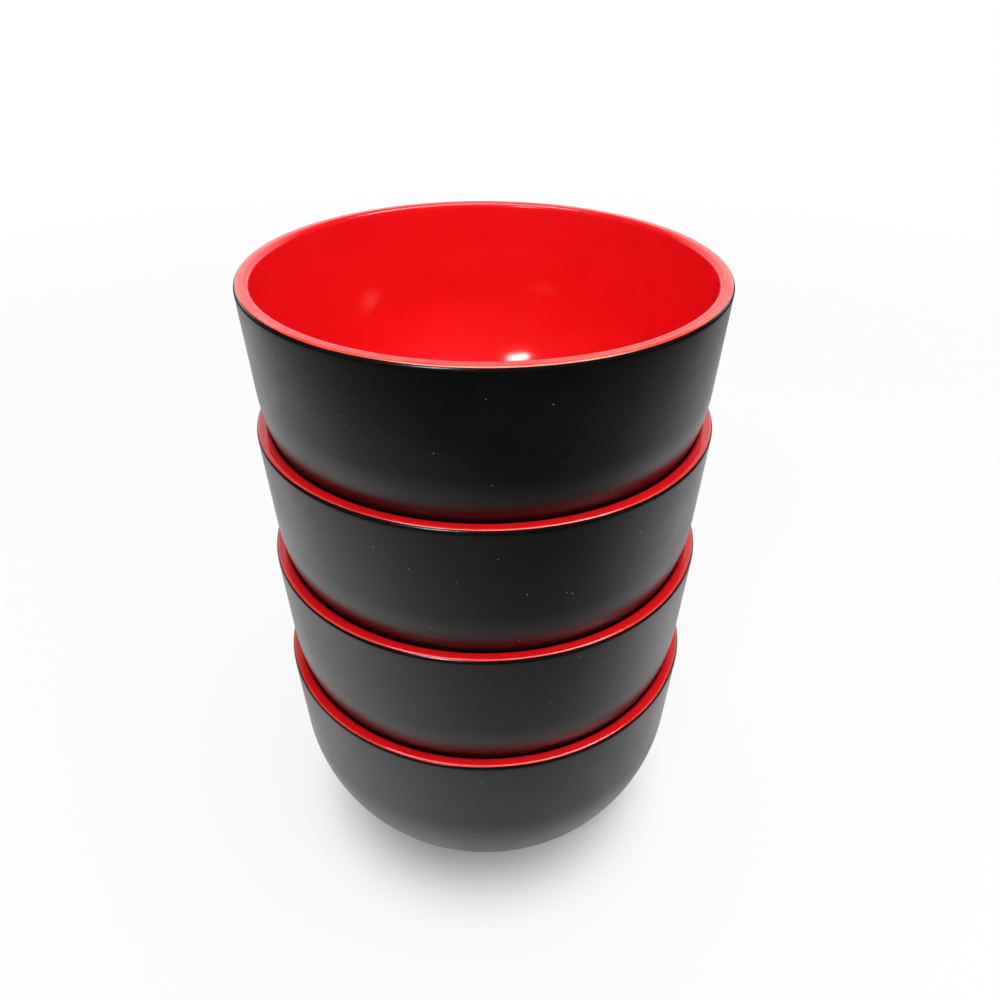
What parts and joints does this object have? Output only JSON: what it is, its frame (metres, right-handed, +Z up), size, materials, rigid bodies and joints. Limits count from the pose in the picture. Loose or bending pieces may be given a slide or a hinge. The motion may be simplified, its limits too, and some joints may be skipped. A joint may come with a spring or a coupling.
{
  "type": "nested noodle bowls",
  "caption": "Deep round stoneware noodle bowls nested in a stack, with red gloss glaze inside and on the flat lip, black satin glaze outside and a bare turned foot ring.",
  "frame": {"origin": "middle of the circle on which the lowest bowl's foot ring stands", "axes": "+Z up along the common axis of the bowls; X and Y are alike, because every bowl is round"},
  "size_m": [0.1518, 0.1518, 0.234],
  "materials": {
    "clay": "bare fired stoneware",
    "red_glaze": "gloss",
    "black_glaze": "satin"
  },
  "bodies": {
    "bowl_1": {"bowl_1_clay": "clay", "bowl_1_red_glaze": "red_glaze", "bowl_1_black_glaze": "black_glaze"},
    "bowl_2": {"bowl_2_clay": "clay", "bowl_2_red_glaze": "red_glaze", "bowl_2_black_glaze": "black_glaze"},
    "bowl_3": {"bowl_3_clay": "clay", "bowl_3_red_glaze": "red_glaze", "bowl_3_black_glaze": "black_glaze"},
    "bowl_4": {"bowl_4_clay": "clay", "bowl_4_red_glaze": "red_glaze", "bowl_4_black_glaze": "black_glaze"}
  },
  "joints": [
    {"name": "bowl_2_lift", "type": "slide", "parent": "bowl_1", "child": "bowl_2", "axis": [0, 0, 1], "range_m": [0, 0.12]},
    {"name": "bowl_3_lift", "type": "slide", "parent": "bowl_2", "child": "bowl_3", "axis": [0, 0, 1], "range_m": [0, 0.12]},
    {"name": "bowl_4_lift", "type": "slide", "parent": "bowl_3", "child": "bowl_4", "axis": [0, 0, 1], "range_m": [0, 0.12]}
  ]
}
